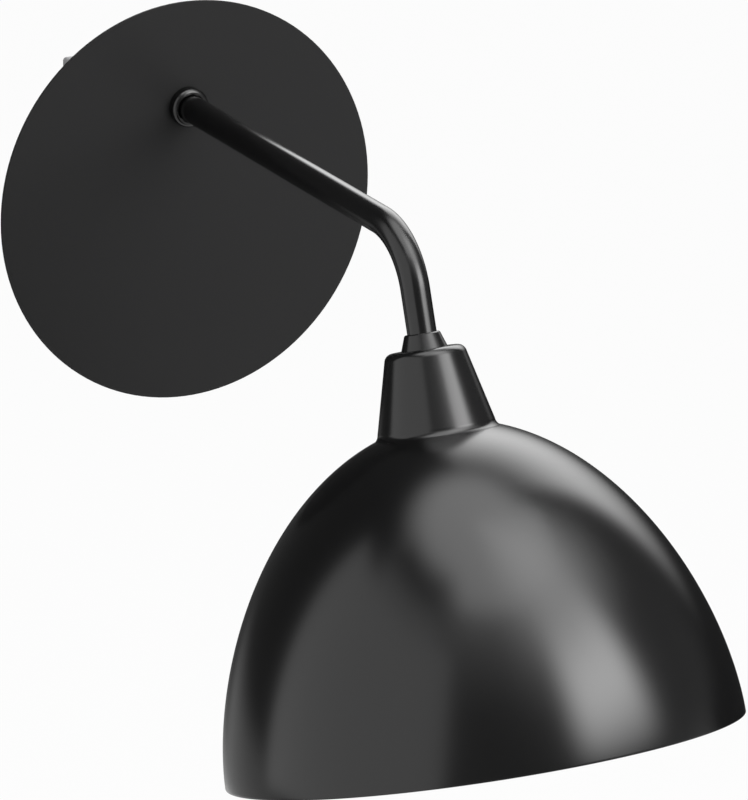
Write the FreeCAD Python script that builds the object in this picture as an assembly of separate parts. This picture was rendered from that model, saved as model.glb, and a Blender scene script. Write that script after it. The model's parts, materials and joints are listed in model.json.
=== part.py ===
import FreeCAD, Part
import math
import os

# A wall light: a round face plate over a flat wall box, a bent tube arm that turns in a
# bearing collar, and a domed metal shade with a screw-in lamp. Millimetres, +Z up.
# The origin is on the wall, behind the middle of the face plate. The room is towards -Y.

# Driving dimensions
# Wall box and face plate
box_width = 118.5
box_height = 163.0
box_depth = 30.8
box_wall = 1.5
box_corner_radius = 2.0
plate_diameter = 225.0
plate_thickness = 1.2
plate_edge_chamfer = 0.3

# Wall fixing holes and supply cable entry in the back of the box
wall_hole_spacing_x = 90.0
wall_hole_spacing_z = 120.0
wall_hole_radius = 2.5
entry_drop = 42.0
grommet_neck_radius = 8.0
grommet_bore_radius = 5.0
grommet_flange_radius = 10.0
grommet_flange_height = 2.0

# Arm tube
arm_slope = 2.2
arm_reach = 219.0
bend_radius = 40.0
bend_angle = 69.5
drop_length = 30.0
tube_diameter = 15.0
tube_wall = 1.5

# Collar on the face plate
collar_radius = 11.0
collar_length = 5.6
collar_recess_radius = 8.2
collar_recess_depth = 3.0
collar_spigot_radius = 8.8
collar_rounding = 2.4

# Socket behind the plate that carries the arm
socket_radius = 23.0
socket_thickness = 12.0
socket_room = 3.0
clip_pocket_radius = 10.0
clip_pocket_depth = 2.6
clip_thickness = 1.2
clip_radius = 9.3
clip_groove_depth = 0.5
clip_gap_width = 5.0
spot_face_radius = 13.0
spot_face_depth = 0.8
stud_circle_radius = 18.0
stud_count = 4
friction_washer_radius = 9.0
friction_washer_thickness = 1.0
plug_flange_radius = 12.0
plug_flange_thickness = 2.0
plug_sleeve_length = 12.0
plug_bore_radius = 3.6
stop_pin_radius = 1.25
stop_pin_circle = 10.7
stop_pin_seat = 5.0
arm_turn_each_way = 35.0
stop_gap = 0.6

# Small fasteners (nominal thread radii)
m4_radius = 2.0
m4_nut_width = 7.0
m4_nut_height = 3.2
m4_washer_radius = 4.4
m4_washer_thickness = 0.8
m4_head_radius = 3.8
m4_head_height = 2.4
m4_tail = 1.5
m3_radius = 1.5
m3_head_radius = 2.8
m3_head_height = 1.6
slot_width = 0.9
slot_depth = 0.8

# Tabs that hold the plate in the box
tab_thickness = 1.5
tab_width = 20.0
tab_foot = 12.0
tab_height = 17.0
side_screw_depth = 10.0
side_screw_reach = 8.0

# Terminal block
pole_pitch = 9.0
pole_count = 3
terminal_width = 28.0
terminal_height = 18.0
terminal_depth = 13.0
terminal_top = 6.0
terminal_hole_radius = 1.6
terminal_hole_depth = 6.0
terminal_screw_radius = 2.0
terminal_screw_height = 1.0
terminal_screw_spread = 5.0

# Earth stud on the plate
earth_x = -34.0
earth_z = 20.0
tag_radius = 4.2
tag_thickness = 0.8
tag_barrel_radius = 2.0
tag_barrel_length = 6.0
tag_reach = 12.0

# Wiring
core_radius = 1.2
core_spread = 1.5
core_straight = 5.5
core_dip = 5.5
core_back = 4.5
core_fan = 1.2
core_drop = 15.0
core_rise = 12.0
earth_exit = 9.0
earth_climb = 7.0
arc_share = 0.45
flex_radius = 3.2
flex_tail = 0.8

# Fitting at the lower end of the tube
thread_radius = 5.0
nipple_bore_radius = 3.6
insert_length = 16.0
nipple_above = 15.0
nipple_below = 12.0
cone_height = 8.0
cone_top_radius = 9.0
cone_bottom_radius = 11.8
cone_chamfer = 0.5
lock_washer_radius = 9.0
lock_washer_thickness = 1.0
lock_nut_width = 14.0
lock_nut_height = 3.0

# Shade
cup_top_radius = 20.0
cup_shoulder_radius = 4.6
cup_taper = 0.25
cup_wall = 1.0
foot_flare = 1.9
foot_flare_height = 3.4
shade_height = 204.0
rim_radius = 132.5
dome_height = 167.0
dome_height_power = 1.73
dome_radius_power = 1.97
dome_wall = 0.9
dome_seat_radius = 32.0
dome_hole_radius = 20.3
dome_points = 15

# Lampholder
holder_boss_radius = 9.5
holder_boss_height = 6.0
holder_cap_radius = 17.5
holder_cap_wall = 2.3
holder_cap_height = 18.0
holder_shoulder = 3.0
holder_body_radius = 19.8
holder_body_wall = 2.9
holder_tail = 2.0
holder_flange_thickness = 2.0
holder_flange_bore = 12.0
holder_core_height = 8.0
terminal_post_offset = 8.0
terminal_post_size = 5.0
shell_radius = 13.4
shell_wall = 0.4
shell_height = 21.0
contact_width = 5.0
contact_length = 14.0
contact_thickness = 0.5
contact_button_radius = 2.5
contact_button_height = 2.0
grub_radius = 1.5

# Shade ring on the lampholder
ring_flange_radius = 28.0
ring_flange_thickness = 2.6
ring_sleeve_radius = 23.5
ring_height = 10.0
ring_notch_radius = 1.3
ring_notch_count = 18

# Lamp
lamp_length = 107.0
lamp_globe_radius = 30.0
lamp_cap_radius = 13.2
lamp_cap_wall = 0.4
lamp_cap_height = 19.0
lamp_contact_radius = 4.8
lamp_contact_height = 1.5
lamp_insulator_height = 4.0
lamp_neck_radius = 12.6
lamp_neck_length = 6.0
lamp_glass_wall = 1.0
lamp_shoulder_angle = 38.0
lamp_flank_hollow = 1.4

# Clearances
thread_clearance = 0.05
running_clearance = 0.05
loose_clearance = 0.2
face_gap = 0.05
press_clearance = 0.01

# Worked-out places
X_AXIS = FreeCAD.Vector(1, 0, 0)
Y_AXIS = FreeCAD.Vector(0, 1, 0)
Z_AXIS = FreeCAD.Vector(0, 0, 1)
ORIGIN = FreeCAD.Vector(0, 0, 0)

tube_radius = tube_diameter / 2
tube_bore = tube_radius - tube_wall
plate_back = -box_depth
plate_front = plate_back - plate_thickness
box_inner_x = box_width / 2 - box_wall
collar_height = box_height / 2 - box_wall - socket_room - socket_radius
arm_root = FreeCAD.Vector(0, plate_front, collar_height)
shade_fall = arm_slope + bend_angle


def heading(fall):
    """Direction out from the wall that falls by this many degrees."""
    angle = math.radians(fall)
    return FreeCAD.Vector(0, -math.cos(angle), -math.sin(angle))


def above(fall):
    """Direction square to heading(fall), on its upper side."""
    angle = math.radians(fall)
    return FreeCAD.Vector(0, -math.sin(angle), math.cos(angle))


def dome_rise(radius):
    """Height of the dome's outer face above the rim at this radius."""
    share = 1 - (radius / rim_radius) ** dome_radius_power
    return dome_height * share ** (1 / dome_height_power)


bend_start = arm_root + heading(arm_slope) * arm_reach
bend_centre = bend_start - above(arm_slope) * bend_radius
bend_end = bend_centre + above(shade_fall) * bend_radius
shade_top = bend_end + heading(shade_fall) * drop_length

# Stations along the arm, measured out from the face plate's front
pocket_floor = -plate_thickness - clip_pocket_depth
clip_inner = pocket_floor + face_gap
clip_outer = clip_inner + clip_thickness
spot_face = -plate_thickness - socket_thickness + spot_face_depth
washer_front = spot_face - face_gap
flange_front = washer_front - friction_washer_thickness
flange_back = flange_front - plug_flange_thickness
flex_end = flange_back - flex_tail

# Stations along the shade, measured down from the top of its cup
washer_top = cup_wall
nut_top = washer_top + lock_washer_thickness
holder_top = nut_top + lock_nut_height
body_top = holder_top + holder_cap_height
core_top = body_top + holder_flange_thickness
core_bottom = core_top + holder_core_height
contact_face = core_bottom + contact_thickness + contact_button_height
seat = shade_height - dome_rise(dome_seat_radius)
ring_top = seat + dome_wall + face_gap
ring_bottom = ring_top + ring_height
body_bottom = ring_bottom + holder_tail


# Helpers
def turned(points):
    """Solid of revolution about Z from (radius, height) corners."""
    corners = [FreeCAD.Vector(radius, 0, height) for radius, height in points]
    corners.append(corners[0])
    return Part.Face(Part.makePolygon(corners)).revolve(ORIGIN, Z_AXIS, 360)


def rod(radius, low, high):
    return Part.makeCylinder(radius, high - low, FreeCAD.Vector(0, 0, low))


def pipe(radius, bore, low, high):
    return rod(radius, low, high).cut(rod(bore, low - 1, high + 1))


def block(size_x, size_y, size_z, low_x, low_y, low_z):
    return Part.makeBox(size_x, size_y, size_z, FreeCAD.Vector(low_x, low_y, low_z))


def hex_nut(width, bore, low, high):
    reach = width / 2 / math.cos(math.radians(30))
    corners = []
    for i in range(7):
        angle = math.radians(60 * i)
        corners.append(FreeCAD.Vector(reach * math.cos(angle), reach * math.sin(angle), low))
    body = Part.Face(Part.makePolygon(corners)).extrude(Z_AXIS * (high - low))
    return body.cut(rod(bore, low - 1, high + 1))


def slotted_screw(shank_radius, head_radius, head_height, length):
    """Screw along +Z: the head's underside is at 0, its shank goes down to -length."""
    screw = rod(head_radius, 0, head_height).fuse(rod(shank_radius, -length, 0))
    slot = block(2 * head_radius + 1, slot_width, slot_depth, -head_radius - 0.5, -slot_width / 2,
                 head_height - slot_depth)
    return screw.cut(slot).removeSplitter()


def rims_at(shape, height):
    """Round edges of a turned piece that lie at this height."""
    return [edge for edge in shape.Edges
            if isinstance(edge.Curve, Part.Circle)
            and abs(edge.BoundBox.ZMin - height) < 1e-6 and abs(edge.BoundBox.ZMax - height) < 1e-6]


def widest_rim(shape, height):
    return max(rims_at(shape, height), key=lambda edge: edge.Curve.Radius)


def placed(shape, origin, fall):
    """Turn a piece built along +Z so that it points out from the wall and falls by this angle."""
    result = shape.copy()
    result.Placement = FreeCAD.Placement(origin, FreeCAD.Rotation(X_AXIS, 90 + fall)) * shape.Placement
    return result


def on_arm(shape):
    return placed(shape, arm_root, arm_slope)


def on_shade(shape):
    return placed(shape, shade_top, shade_fall)


def into_box(shape, x, y, z):
    """Turn a piece built along +Z so that it points from the plate towards the wall."""
    result = shape.copy()
    move = FreeCAD.Placement(FreeCAD.Vector(x, y, z), FreeCAD.Rotation(X_AXIS, -90))
    result.Placement = move * shape.Placement
    return result


def straight_run(start, end, radius):
    return Part.makeCylinder(radius, (end - start).Length, start, end - start)


def bend_run(start, heading_in, centre, axis, turn, radius):
    """Round bar bent about a centre: its section starts square to heading_in."""
    section = Part.Face(Part.Wire(Part.makeCircle(radius, start, heading_in)))
    return section.revolve(centre, axis, turn)


def bent_bar(start, end, radius):
    """Round bar along the arm's centre line, between points on its straight ends."""
    bend = bend_run(bend_start, heading(arm_slope), bend_centre, X_AXIS, bend_angle, radius)
    first = straight_run(start, bend_start, radius)
    last = straight_run(bend_end, end, radius)
    return first.fuse([bend, last]).removeSplitter()


def wire_run(points, radius):
    """Insulated core: straight runs joined by tangent arcs, each as large as its runs allow."""
    runs = []
    length = 0
    here = points[0]
    for i in range(1, len(points) - 1):
        before = points[i] - points[i - 1]
        after = points[i + 1] - points[i]
        turn = before.getAngle(after)
        setback = arc_share * min(before.Length, after.Length)
        arc_radius = setback / math.tan(turn / 2)
        axis = before.cross(after)
        arc_start = points[i] - before.normalize() * setback
        arc_end = points[i] + after.normalize() * setback
        centre = arc_start + axis.cross(before).normalize() * arc_radius
        runs.append(straight_run(here, arc_start, radius))
        runs.append(bend_run(arc_start, before, centre, axis, math.degrees(turn), radius))
        length += (arc_start - here).Length + arc_radius * turn
        here = arc_end
        print("core bend radius %.1f" % arc_radius)
    runs.append(straight_run(here, points[-1], radius))
    length += (points[-1] - here).Length
    solid = runs[0].fuse(runs[1:]).removeSplitter()
    print("core length %.1f, volume over section times length %.3f"
          % (length, solid.Volume / (math.pi * radius ** 2 * length)))
    return solid


def corner_points(spacing_x, spacing_z):
    return [(x, z) for x in (-spacing_x / 2, spacing_x / 2) for z in (-spacing_z / 2, spacing_z / 2)]


def stud_points():
    """Stud places on the socket's circle, as (x, z)."""
    points = []
    for i in range(stud_count):
        angle = math.radians(360 / stud_count * (i + 0.5))
        x = stud_circle_radius * math.cos(angle)
        points.append((x, collar_height + stud_circle_radius * math.sin(angle)))
    return points


def pole_x(index):
    return pole_pitch * (index - (pole_count - 1) / 2)


# Wall side
def wall_box():
    shell = block(box_width, box_depth, box_height, -box_width / 2, -box_depth, -box_height / 2)
    shell = shell.makeFillet(box_corner_radius, [e for e in shell.Edges if abs(e.tangentAt(0).y) > 0.9])
    hollow = block(2 * box_inner_x, box_depth, box_height - 2 * box_wall,
                   -box_inner_x, -box_depth - box_wall, -box_height / 2 + box_wall)
    inner_corner = box_corner_radius - box_wall
    hollow = hollow.makeFillet(inner_corner, [e for e in hollow.Edges if abs(e.tangentAt(0).y) > 0.9])
    box = shell.cut(hollow)
    for x, z in corner_points(wall_hole_spacing_x, wall_hole_spacing_z):
        box = box.cut(into_box(rod(wall_hole_radius, -box_wall, box_wall), x, -box_wall, z))
    box = box.cut(into_box(rod(grommet_neck_radius, -box_wall, box_wall), 0, -box_wall, -entry_drop))
    for x in block_screw_places():
        hole = rod(m3_radius + thread_clearance, -box_wall, box_wall)
        box = box.cut(into_box(hole, x, -box_wall, terminal_middle()))
    slot_half = m4_radius + loose_clearance
    slot_y = plate_back + side_screw_depth
    for side in (-1, 1):
        low_x = side * (box_width / 2 - box_wall / 2) - box_wall
        end = Part.makeCylinder(slot_half, 2 * box_wall, FreeCAD.Vector(low_x, slot_y, 0), X_AXIS)
        mouth = block(2 * box_wall, side_screw_depth, 2 * slot_half, low_x, plate_back, -slot_half)
        box = box.cut(end).cut(mouth)
    return box.removeSplitter()


def cable_grommet():
    neck = rod(grommet_neck_radius - press_clearance, 0, box_wall)
    flange = rod(grommet_flange_radius, -grommet_flange_height, 0)
    flange = flange.makeFillet(grommet_flange_height / 4, [widest_rim(flange, -grommet_flange_height)])
    ring = neck.fuse(flange).cut(rod(grommet_bore_radius, -grommet_flange_height - 1, box_wall + 1))
    return into_box(ring.removeSplitter(), 0, -box_wall, -entry_drop)


def face_plate():
    disc = rod(plate_diameter / 2, 0, plate_thickness)
    disc = disc.makeChamfer(plate_edge_chamfer, [widest_rim(disc, 0)])
    disc = into_box(disc, 0, plate_front, 0)
    hole = on_arm(rod(collar_spigot_radius + press_clearance, -2 * plate_thickness, plate_thickness))
    return disc.cut(hole)


def plate_tabs():
    tabs = []
    for side in (-1, 1):
        outer = side * box_inner_x
        inner = outer - side * tab_thickness
        foot_inner = outer - side * tab_foot
        leg = block(tab_thickness, tab_height, tab_width, min(outer, inner), plate_back, -tab_width / 2)
        foot = block(tab_foot, tab_thickness, tab_width, min(outer, foot_inner), plate_back, -tab_width / 2)
        tab = leg.fuse(foot).removeSplitter()
        hole_start = FreeCAD.Vector(outer - 2 * tab_thickness, plate_back + side_screw_depth, 0)
        hole = Part.makeCylinder(m4_radius + thread_clearance, 4 * tab_thickness, hole_start, X_AXIS)
        tabs.append(tab.cut(hole))
    return Part.makeCompound(tabs)


def plate_screws():
    screws = []
    for side in (-1, 1):
        screw = slotted_screw(m4_radius, m4_head_radius, m4_head_height, side_screw_reach)
        head_seat = FreeCAD.Vector(side * box_width / 2, plate_back + side_screw_depth, 0)
        screw.Placement = FreeCAD.Placement(head_seat, FreeCAD.Rotation(Y_AXIS, 90 * side))
        screws.append(screw)
    return Part.makeCompound(screws)


def collar():
    bore = rod(tube_radius + running_clearance, -4 * plate_thickness, 2 * collar_length)
    recess = rod(collar_recess_radius, collar_length - collar_recess_depth, 2 * collar_length)
    flange = rod(collar_radius, -plate_thickness, collar_length)
    flange = flange.makeFillet(collar_rounding, [widest_rim(flange, collar_length)])
    spigot = rod(collar_spigot_radius, -4 * plate_thickness, 1)
    wide = 4 * collar_radius
    before_front = block(wide, wide, wide, -wide / 2, plate_front - wide, collar_height - wide / 2)
    before_back = block(wide, wide, wide, -wide / 2, plate_back - wide, collar_height - wide / 2)
    ring = on_arm(flange).common(before_front).fuse(on_arm(spigot).common(before_back))
    return ring.cut(on_arm(bore)).cut(on_arm(recess)).removeSplitter()


def arm_socket():
    body = into_box(rod(socket_radius, 0, socket_thickness), 0, plate_back, collar_height)
    body = body.cut(on_arm(rod(tube_radius + running_clearance, -3 * socket_thickness, socket_thickness)))
    body = body.cut(on_arm(rod(clip_pocket_radius, pocket_floor, socket_thickness)))
    body = body.cut(on_arm(rod(spot_face_radius, spot_face - socket_thickness, spot_face)))
    seat = rod(stop_pin_radius + press_clearance, spot_face - 1, spot_face + stop_pin_seat)
    seat.translate(X_AXIS * stop_pin_circle)
    body = body.cut(on_arm(seat))
    stud_hole = rod(m4_radius + loose_clearance, -1, 2 * socket_thickness)
    for x, z in stud_points():
        body = body.cut(into_box(stud_hole, x, plate_back, z))
    return body


def stop_pin():
    pin = rod(stop_pin_radius, flange_back, spot_face + stop_pin_seat)
    pin.translate(X_AXIS * stop_pin_circle)
    return on_arm(pin)


def stud_length():
    return socket_thickness + m4_washer_thickness + m4_nut_height + m4_tail


def socket_studs():
    return Part.makeCompound([into_box(rod(m4_radius, 0, stud_length()), x, plate_back, z)
                              for x, z in stud_points()])


def socket_washers():
    bore = m4_radius + loose_clearance
    washer = pipe(m4_washer_radius, bore, socket_thickness, socket_thickness + m4_washer_thickness)
    return Part.makeCompound([into_box(washer, x, plate_back, z) for x, z in stud_points()])


def socket_nuts():
    low = socket_thickness + m4_washer_thickness
    nut = hex_nut(m4_nut_width, m4_radius + thread_clearance, low, low + m4_nut_height)
    return Part.makeCompound([into_box(nut, x, plate_back, z) for x, z in stud_points()])


def terminal_middle():
    return terminal_top - terminal_height / 2


def block_screw_places():
    """The block's fixing screws stand between its poles."""
    return [(pole_x(i) + pole_x(i + 1)) / 2 for i in range(pole_count - 1)]


def terminal_screw_places():
    return [(pole_x(i), terminal_middle() + side * terminal_screw_spread)
            for i in range(pole_count) for side in (-1, 1)]


def terminal_block():
    front = -box_wall - terminal_depth
    low_z = terminal_top - terminal_height
    body = block(terminal_width, terminal_depth, terminal_height, -terminal_width / 2, front, low_z)
    for i in range(pole_count):
        mouth = FreeCAD.Vector(pole_x(i), core_depth(), low_z)
        body = body.cut(Part.makeCylinder(terminal_hole_radius, terminal_hole_depth, mouth, Z_AXIS))
    for x in block_screw_places():
        hole = rod(m3_radius + loose_clearance, -1, terminal_depth + 1)
        body = body.cut(into_box(hole, x, front, terminal_middle()))
    for x, z in terminal_screw_places():
        recess = rod(terminal_screw_radius + press_clearance, -1, terminal_screw_height)
        body = body.cut(into_box(recess, x, front, z))
    return body


def terminal_screws():
    front = -box_wall - terminal_depth
    screws = []
    for x, z in terminal_screw_places():
        screw = rod(terminal_screw_radius, 0, terminal_screw_height)
        slot = block(2 * terminal_screw_radius + 1, slot_width, slot_depth / 2,
                     -terminal_screw_radius - 0.5, -slot_width / 2, 0)
        screws.append(into_box(screw.cut(slot), x, front, z))
    return Part.makeCompound(screws)


def block_screws():
    front = -box_wall - terminal_depth
    screws = []
    for x in block_screw_places():
        length = terminal_depth + box_wall - face_gap
        screw = slotted_screw(m3_radius, m3_head_radius, m3_head_height, length)
        head_seat = FreeCAD.Vector(x, front, terminal_middle())
        screw.Placement = FreeCAD.Placement(head_seat, FreeCAD.Rotation(X_AXIS, 90))
        screws.append(screw)
    return Part.makeCompound(screws)


def core_depth():
    """How far in front of the wall the cores enter the terminal block."""
    return -box_wall - terminal_depth / 2


def earth_stud():
    length = tag_thickness + m4_nut_height + m4_tail
    return into_box(rod(m4_radius, 0, length), earth_x, plate_back, earth_z)


def earth_tag():
    ring = rod(tag_radius, 0, tag_thickness)
    tongue = block(tag_reach, 2 * tag_barrel_radius, tag_thickness, 0, -tag_barrel_radius, 0)
    tag = ring.fuse(tongue).cut(rod(m4_radius + loose_clearance, -1, tag_thickness + 1))
    barrel = Part.makeCylinder(tag_barrel_radius, tag_barrel_length,
                               FreeCAD.Vector(tag_reach - tag_barrel_length, 0, tag_barrel_radius), X_AXIS)
    return into_box(tag.fuse(barrel).removeSplitter(), earth_x, plate_back, earth_z)


def earth_nut():
    nut = hex_nut(m4_nut_width, m4_radius + thread_clearance, tag_thickness, tag_thickness + m4_nut_height)
    return into_box(nut, earth_x, plate_back, earth_z)


def earth_lead():
    exit_x = earth_x + tag_reach
    exit_y = plate_back + tag_barrel_radius
    points = [FreeCAD.Vector(exit_x, exit_y, earth_z),
              FreeCAD.Vector(exit_x + earth_exit, exit_y, earth_z),
              FreeCAD.Vector(exit_x + earth_exit + earth_climb, exit_y + earth_climb, earth_z),
              FreeCAD.Vector(pole_x(1), core_depth(), terminal_top + core_rise),
              FreeCAD.Vector(pole_x(1), core_depth(), terminal_top)]
    return wire_run(points, core_radius)


def supply_core(side):
    """Live or neutral core, from the end of the arm's flex down to its pole."""
    start = arm_root + heading(arm_slope) * flex_end + X_AXIS * (side * core_spread)
    straight_end = start - heading(arm_slope) * core_straight
    pole = pole_x(0) if side < 0 else pole_x(pole_count - 1)
    rear = straight_end.y + core_back
    points = [start,
              straight_end,
              FreeCAD.Vector(side * (core_spread + core_fan), rear, start.z - core_dip),
              FreeCAD.Vector(side * (core_spread + 2 * core_fan), rear, start.z - core_dip - core_drop),
              FreeCAD.Vector(pole, core_depth(), terminal_top + core_rise),
              FreeCAD.Vector(pole, core_depth(), terminal_top)]
    return wire_run(points, core_radius)


def live_core():
    return supply_core(-1)


def neutral_core():
    return supply_core(1)


# Arm
def arm_tube():
    start = arm_root + heading(arm_slope) * flange_front
    outer = bent_bar(start, shade_top, tube_radius)
    inner = bent_bar(start, shade_top, tube_bore)
    groove_floor = tube_radius - clip_groove_depth
    groove = pipe(2 * tube_radius, groove_floor, clip_inner - face_gap, clip_outer + face_gap)
    return outer.cut(inner).cut(on_arm(groove))


def tube_clip():
    ring = pipe(clip_radius, tube_radius - clip_groove_depth + press_clearance, clip_inner, clip_outer)
    gap = block(clip_gap_width, 2 * clip_radius, 2 * clip_thickness, -clip_gap_width / 2, -2 * clip_radius,
                clip_inner - clip_thickness / 2)
    return on_arm(ring.cut(gap))


def friction_washer():
    return on_arm(pipe(friction_washer_radius, tube_radius + loose_clearance, flange_front, washer_front))


def end_plug():
    flange = rod(plug_flange_radius, flange_back, flange_front)
    sleeve_end = flange_front + plug_sleeve_length
    sleeve = rod(tube_bore - thread_clearance, flange_front, sleeve_end)
    plug = flange.fuse(sleeve).cut(rod(plug_bore_radius, flange_back - 1, sleeve_end + 1))
    pin_half_angle = math.degrees(math.asin(stop_pin_radius / stop_pin_circle))
    half = arm_turn_each_way + pin_half_angle + stop_gap
    notch_floor = stop_pin_circle - stop_pin_radius - loose_clearance
    low = flange_back - plug_flange_thickness
    high = flange_front + plug_flange_thickness
    sector = Part.makeCylinder(2 * plug_flange_radius, high - low, Z_AXIS * low, Z_AXIS, 2 * half)
    sector.rotate(ORIGIN, Z_AXIS, -half)
    notch = sector.cut(rod(notch_floor, low, high))
    return on_arm(plug.cut(notch).removeSplitter())


def arm_flex():
    start = arm_root + heading(arm_slope) * flex_end
    end = shade_top + heading(shade_fall) * (nipple_below + flex_tail)
    return bent_bar(start, end, flex_radius)


def tube_insert():
    return on_shade(pipe(tube_bore - thread_clearance, thread_radius + thread_clearance, -insert_length, 0))


def nipple():
    return on_shade(pipe(thread_radius, nipple_bore_radius, -nipple_above, nipple_below))


def tube_cone():
    cone = turned([(0, -cone_height), (cone_top_radius, -cone_height), (cone_bottom_radius, 0), (0, 0)])
    cone = cone.makeChamfer(cone_chamfer, [widest_rim(cone, -cone_height)])
    return on_shade(cone.cut(rod(tube_radius + running_clearance, -2 * cone_height, cone_height)))


def lock_washer():
    return on_shade(pipe(lock_washer_radius, thread_radius + loose_clearance, washer_top, nut_top))


def lock_nut():
    return on_shade(hex_nut(lock_nut_width, thread_radius + thread_clearance, nut_top, holder_top))


def cup_radius(station):
    return cup_top_radius + cup_taper * station


def neck_cup():
    cone_end = seat - foot_flare_height
    outer = turned([(0, 0), (cup_top_radius, 0), (cup_radius(cone_end), cone_end), (0, cone_end)])
    outer = outer.makeFillet(cup_shoulder_radius, [widest_rim(outer, 0)])
    inner_top = cup_radius(cup_wall) - cup_wall
    inner_end = cup_radius(cone_end) - cup_wall
    inner = turned([(0, cup_wall), (inner_top, cup_wall), (inner_end, cone_end), (0, cone_end)])
    inner = inner.makeFillet(cup_shoulder_radius - cup_wall, [widest_rim(inner, cup_wall)])
    start = FreeCAD.Vector(cup_radius(cone_end), 0, cone_end)
    bow = FreeCAD.Vector(start.x + foot_flare / 4, 0, cone_end + foot_flare_height / 2)
    end = FreeCAD.Vector(cup_radius(cone_end) + foot_flare, 0, seat)
    inside = X_AXIS * -cup_wall
    edges = [Part.Arc(start, bow, end).toShape(),
             Part.LineSegment(end, end + inside).toShape(),
             Part.Arc(end + inside, bow + inside, start + inside).toShape(),
             Part.LineSegment(start + inside, start).toShape()]
    flare = Part.Face(Part.Wire(edges)).revolve(ORIGIN, Z_AXIS, 360)
    cup = outer.cut(inner).fuse(flare)
    cup = cup.cut(rod(thread_radius + loose_clearance, -1, 2 * cup_wall))
    return on_shade(cup.removeSplitter())


def dome_outline():
    """Points of the dome's outer face and of its inner face, one wall in from it."""
    outer = []
    inner = []
    for i in range(dome_points):
        step = i / (dome_points - 1)
        angle = math.radians(90) * step
        start_share = dome_seat_radius / rim_radius
        radius = rim_radius * (start_share + (1 - start_share) * math.sin(angle))
        station = shade_height - dome_rise(radius) if i < dome_points - 1 else shade_height
        outer.append(FreeCAD.Vector(radius, 0, station))
    curve = Part.BSplineCurve()
    curve.interpolate(outer)
    for point in outer:
        tangent = curve.tangent(curve.parameter(point))[0]
        inner.append(point + FreeCAD.Vector(-tangent.z, 0, tangent.x) * dome_wall)
    inner[-1] = FreeCAD.Vector(rim_radius - dome_wall, 0, shade_height)
    lining = Part.BSplineCurve()
    lining.interpolate(inner)
    return curve, lining


def shade_dome():
    outer, inner = dome_outline()
    outer_top = outer.StartPoint
    inner_top = inner.StartPoint
    shelf = FreeCAD.Vector(inner_top.x, 0, seat + dome_wall)
    hole_low = FreeCAD.Vector(dome_hole_radius, 0, seat + dome_wall)
    hole_high = FreeCAD.Vector(dome_hole_radius, 0, seat)
    edges = [outer.toShape(),
             Part.LineSegment(outer.EndPoint, inner.EndPoint).toShape(),
             inner.toShape(),
             Part.LineSegment(inner_top, shelf).toShape(),
             Part.LineSegment(shelf, hole_low).toShape(),
             Part.LineSegment(hole_low, hole_high).toShape(),
             Part.LineSegment(hole_high, outer_top).toShape()]
    profile = Part.Wire(Part.__sortEdges__(edges))
    return on_shade(Part.Face(profile).revolve(ORIGIN, Z_AXIS, 360))


# Lampholder
def holder_cap():
    boss_end = holder_top + holder_boss_height
    outer = turned([(0, holder_top), (holder_boss_radius, holder_top), (holder_boss_radius, boss_end),
                    (holder_cap_radius, boss_end + holder_shoulder), (holder_cap_radius, body_top),
                    (0, body_top)])
    hollow_radius = holder_cap_radius - holder_cap_wall
    floor = boss_end + holder_cap_wall
    hollow = turned([(0, floor), (thread_radius + holder_cap_wall, floor),
                     (hollow_radius, floor + holder_shoulder), (hollow_radius, body_top), (0, body_top)])
    cap = outer.cut(hollow).cut(rod(thread_radius + thread_clearance, holder_top - 1, floor + 1))
    return on_shade(cap.cut(grub_hole()))


def grub_station():
    return holder_top + holder_boss_height / 2


def grub_hole():
    return Part.makeCylinder(grub_radius + thread_clearance, 2 * holder_boss_radius,
                             FreeCAD.Vector(0, 0, grub_station()), X_AXIS)


def holder_grub():
    tip = thread_radius + face_gap
    tip_place = FreeCAD.Vector(tip, 0, grub_station())
    screw = Part.makeCylinder(grub_radius, holder_boss_radius - tip, tip_place, X_AXIS)
    slot = block(slot_depth, slot_width, 4 * grub_radius, holder_boss_radius - slot_depth, -slot_width / 2,
                 grub_station() - 2 * grub_radius)
    return on_shade(screw.cut(slot))


def holder_body():
    shoulder = body_top + holder_shoulder
    bore = holder_body_radius - holder_body_wall
    body = turned([(holder_flange_bore, body_top), (holder_cap_radius, body_top),
                   (holder_body_radius, shoulder), (holder_body_radius, body_bottom),
                   (bore, body_bottom), (bore, core_top), (holder_flange_bore, core_top)])
    return on_shade(body)


def holder_core():
    radius = holder_body_radius - holder_body_wall - running_clearance
    return on_shade(rod(radius, core_top, core_bottom))


def holder_shell():
    flange_bore = shell_radius - 3 * shell_wall
    tube = pipe(shell_radius + shell_wall, shell_radius, core_bottom, core_bottom + shell_height)
    flange = pipe(shell_radius + shell_wall, flange_bore, core_bottom, core_bottom + shell_wall)
    return on_shade(tube.fuse(flange).removeSplitter())


def centre_contact():
    strip = block(contact_length, contact_width, contact_thickness, -contact_length / 2, -contact_width / 2,
                  core_bottom)
    button = rod(contact_button_radius, core_bottom, contact_face)
    return on_shade(strip.fuse(button).removeSplitter())


def post_top():
    return core_top - terminal_post_size


def holder_terminals():
    posts = []
    for side in (-1, 1):
        low_x = side * terminal_post_offset - terminal_post_size / 2
        post = block(terminal_post_size, terminal_post_size, terminal_post_size,
                     low_x, -terminal_post_size / 2, post_top())
        posts.append(on_shade(post))
    return Part.makeCompound(posts)


def holder_lead(side):
    start = nipple_below + flex_tail
    run = post_top() - start
    points = [FreeCAD.Vector(side * core_spread, 0, start),
              FreeCAD.Vector(side * core_spread, 0, start + run / 3),
              FreeCAD.Vector(side * terminal_post_offset, 0, post_top() - run / 3),
              FreeCAD.Vector(side * terminal_post_offset, 0, post_top())]
    return on_shade(wire_run(points, core_radius))


def holder_live_lead():
    return holder_lead(-1)


def holder_neutral_lead():
    return holder_lead(1)


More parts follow.
